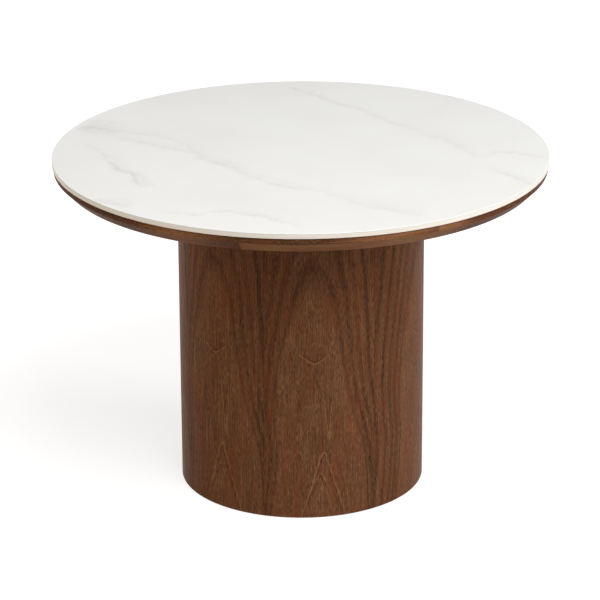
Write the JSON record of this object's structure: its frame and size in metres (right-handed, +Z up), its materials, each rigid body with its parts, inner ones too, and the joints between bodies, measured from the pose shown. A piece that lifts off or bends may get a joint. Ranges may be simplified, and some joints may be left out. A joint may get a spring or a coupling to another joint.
{
  "type": "round pedestal table",
  "caption": "Round dining table: a pale sintered stone top with a bevelled walnut rim, bolted to a wide walnut veneered drum that stands on levelling feet.",
  "frame": {"origin": "on the floor, on the table's axis, under the middle of the drum", "axes": "+Z up along the table's axis, -Y towards the side that the picture shows, +X to the right as seen from there"},
  "size_m": [1.1, 1.1, 0.765],
  "materials": {
    "sintered_stone": "satin, off-white with soft grey veins",
    "silicone": "cured sealant, pale grey",
    "board": "medium density board under a thin backing sheet",
    "walnut": "solid walnut, satin lacquer",
    "walnut_veneer": "crown cut walnut veneer, satin lacquer",
    "plywood": "bare birch plywood",
    "pine": "planed pine",
    "zinc_steel": "bright zinc plate",
    "nylon": "black moulded nylon"
  },
  "bodies": {
    "root": {"stone_top": "sintered_stone", "bond_bead_1": "silicone", "bond_bead_2": "silicone", "bond_bead_3": "silicone", "panel_core": "board", "rim_piece_1": "walnut", "rim_piece_2": "walnut", "rim_piece_3": "walnut", "rim_piece_4": "walnut", "rim_piece_5": "walnut", "rim_piece_6": "walnut", "rim_piece_7": "walnut", "rim_piece_8": "walnut", "panel_insert_1": "zinc_steel", "panel_insert_2": "zinc_steel", "panel_insert_3": "zinc_steel", "panel_insert_4": "zinc_steel", "panel_insert_5": "zinc_steel", "panel_insert_6": "zinc_steel", "drum_shell": "board", "drum_veneer": "walnut_veneer", "drum_plate": "plywood", "base_ring": "plywood", "batten_1": "pine", "batten_2": "pine", "batten_3": "pine", "batten_4": "pine", "upper_screw_1": "zinc_steel", "upper_screw_2": "zinc_steel", "upper_screw_3": "zinc_steel", "upper_screw_4": "zinc_steel", "lower_screw_1": "zinc_steel", "lower_screw_2": "zinc_steel", "lower_screw_3": "zinc_steel", "lower_screw_4": "zinc_steel", "panel_bolt_1": "zinc_steel", "panel_bolt_2": "zinc_steel", "panel_bolt_3": "zinc_steel", "panel_bolt_4": "zinc_steel", "panel_bolt_5": "zinc_steel", "panel_bolt_6": "zinc_steel", "bolt_washer_1": "zinc_steel", "bolt_washer_2": "zinc_steel", "bolt_washer_3": "zinc_steel", "bolt_washer_4": "zinc_steel", "bolt_washer_5": "zinc_steel", "bolt_washer_6": "zinc_steel", "foot_nut_1": "zinc_steel", "foot_nut_2": "zinc_steel", "foot_nut_3": "zinc_steel", "foot_nut_4": "zinc_steel"},
    "pad_1": {"foot_pad_1": "nylon"},
    "stem_1": {"foot_stem_1": "zinc_steel"},
    "pad_2": {"foot_pad_2": "nylon"},
    "stem_2": {"foot_stem_2": "zinc_steel"},
    "pad_3": {"foot_pad_3": "nylon"},
    "stem_3": {"foot_stem_3": "zinc_steel"},
    "pad_4": {"foot_pad_4": "nylon"},
    "stem_4": {"foot_stem_4": "zinc_steel"}
  },
  "joints": [
    {"name": "foot_1_height", "type": "slide", "parent": "root", "child": "pad_1", "axis": [0, 0, -1], "range_m": [0, 0.01]},
    {"name": "foot_1_turn", "type": "hinge", "parent": "pad_1", "child": "stem_1", "pos_m": [0.14991, 0.14991, 0], "axis": [0, 0, -1], "range_deg": [0, 2880]},
    {"name": "foot_2_height", "type": "slide", "parent": "root", "child": "pad_2", "axis": [0, 0, -1], "range_m": [0, 0.01]},
    {"name": "foot_2_turn", "type": "hinge", "parent": "pad_2", "child": "stem_2", "pos_m": [-0.14991, 0.14991, 0], "axis": [0, 0, -1], "range_deg": [0, 2880]},
    {"name": "foot_3_height", "type": "slide", "parent": "root", "child": "pad_3", "axis": [0, 0, -1], "range_m": [0, 0.01]},
    {"name": "foot_3_turn", "type": "hinge", "parent": "pad_3", "child": "stem_3", "pos_m": [-0.14991, -0.14991, 0], "axis": [0, 0, -1], "range_deg": [0, 2880]},
    {"name": "foot_4_height", "type": "slide", "parent": "root", "child": "pad_4", "axis": [0, 0, -1], "range_m": [0, 0.01]},
    {"name": "foot_4_turn", "type": "hinge", "parent": "pad_4", "child": "stem_4", "pos_m": [0.14991, -0.14991, 0], "axis": [0, 0, -1], "range_deg": [0, 2880]}
  ],
  "couplings": [
    {"joint": "foot_1_height", "follows": "foot_1_turn", "m_per_rad": 0.00019894},
    {"joint": "foot_2_height", "follows": "foot_2_turn", "m_per_rad": 0.00019894},
    {"joint": "foot_3_height", "follows": "foot_3_turn", "m_per_rad": 0.00019894},
    {"joint": "foot_4_height", "follows": "foot_4_turn", "m_per_rad": 0.00019894}
  ]
}
